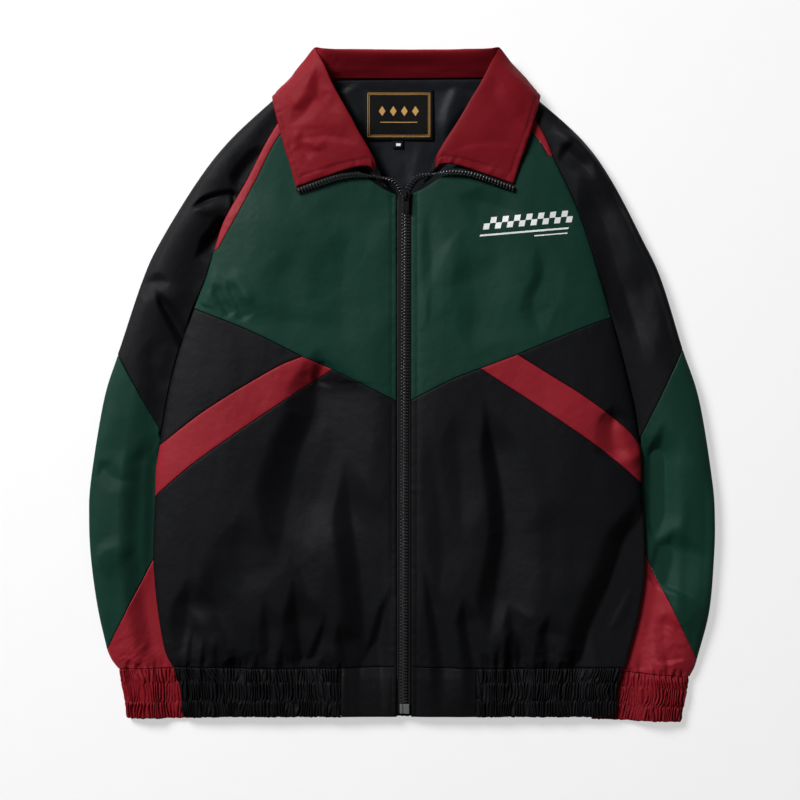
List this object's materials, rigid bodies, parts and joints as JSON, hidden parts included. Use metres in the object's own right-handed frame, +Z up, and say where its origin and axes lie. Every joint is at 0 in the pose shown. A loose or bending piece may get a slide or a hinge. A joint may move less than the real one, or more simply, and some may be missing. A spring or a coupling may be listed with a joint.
{
  "type": "track jacket laid flat",
  "caption": "Zip-front track jacket laid flat on its back, with raglan sleeves in three colours, a turned-down collar and elastic hem and cuffs.",
  "frame": {"origin": "on the surface under the middle of the jacket", "axes": "+X to the right seen from above, +Y towards the collar, +Z up from the surface"},
  "size_m": [0.676, 0.7272, 0.0316],
  "materials": {
    "black_cloth": "black plain-weave nylon with a soft sheen",
    "green_cloth": "dark green plain-weave nylon with a soft sheen",
    "red_cloth": "dark red plain-weave nylon with a soft sheen",
    "lining_cloth": "smooth blue-black lining",
    "label_cloth": "black woven satin label",
    "zip_tape": "black knitted zip tape with moulded teeth",
    "black_metal": "black enamelled die-cast zinc",
    "grey_plastic": "grey moulded plastic"
  },
  "bodies": {
    "jacket": {"back_panel": "black_cloth", "hem_elastic_back": "black_cloth", "back_lining": "lining_cloth", "neck_label": "label_cloth", "size_tab": "label_cloth", "front_yoke_L": "green_cloth", "front_side_L": "black_cloth", "front_stripe_L": "red_cloth", "front_lower_L": "black_cloth", "raglan_stripe_L": "red_cloth", "sleeve_upper_L": "black_cloth", "sleeve_middle_L": "green_cloth", "sleeve_lower_L": "red_cloth", "cuff_L": "red_cloth", "hem_plain_L": "black_cloth", "hem_elastic_L": "black_cloth", "zip_tape_L": "zip_tape", "front_yoke_R": "green_cloth", "front_side_R": "black_cloth", "front_stripe_R": "red_cloth", "front_lower_R": "black_cloth", "raglan_stripe_R": "red_cloth", "sleeve_upper_R": "black_cloth", "sleeve_middle_R": "green_cloth", "sleeve_lower_R": "red_cloth", "cuff_R": "red_cloth", "hem_plain_R": "black_cloth", "hem_elastic_R": "black_cloth", "zip_tape_R": "zip_tape", "collar": "red_cloth", "zip_slider": "black_metal", "zip_box": "grey_plastic", "zip_pin": "grey_plastic"},
    "pull_tab": {"zip_pull_tab": "black_metal"}
  },
  "joints": [
    {"name": "tab_turn", "type": "hinge", "parent": "jacket", "child": "pull_tab", "pos_m": [0.00379, 0.2035, 0.02312], "axis": [-1, 0, 0], "range_deg": [0, 150]}
  ]
}
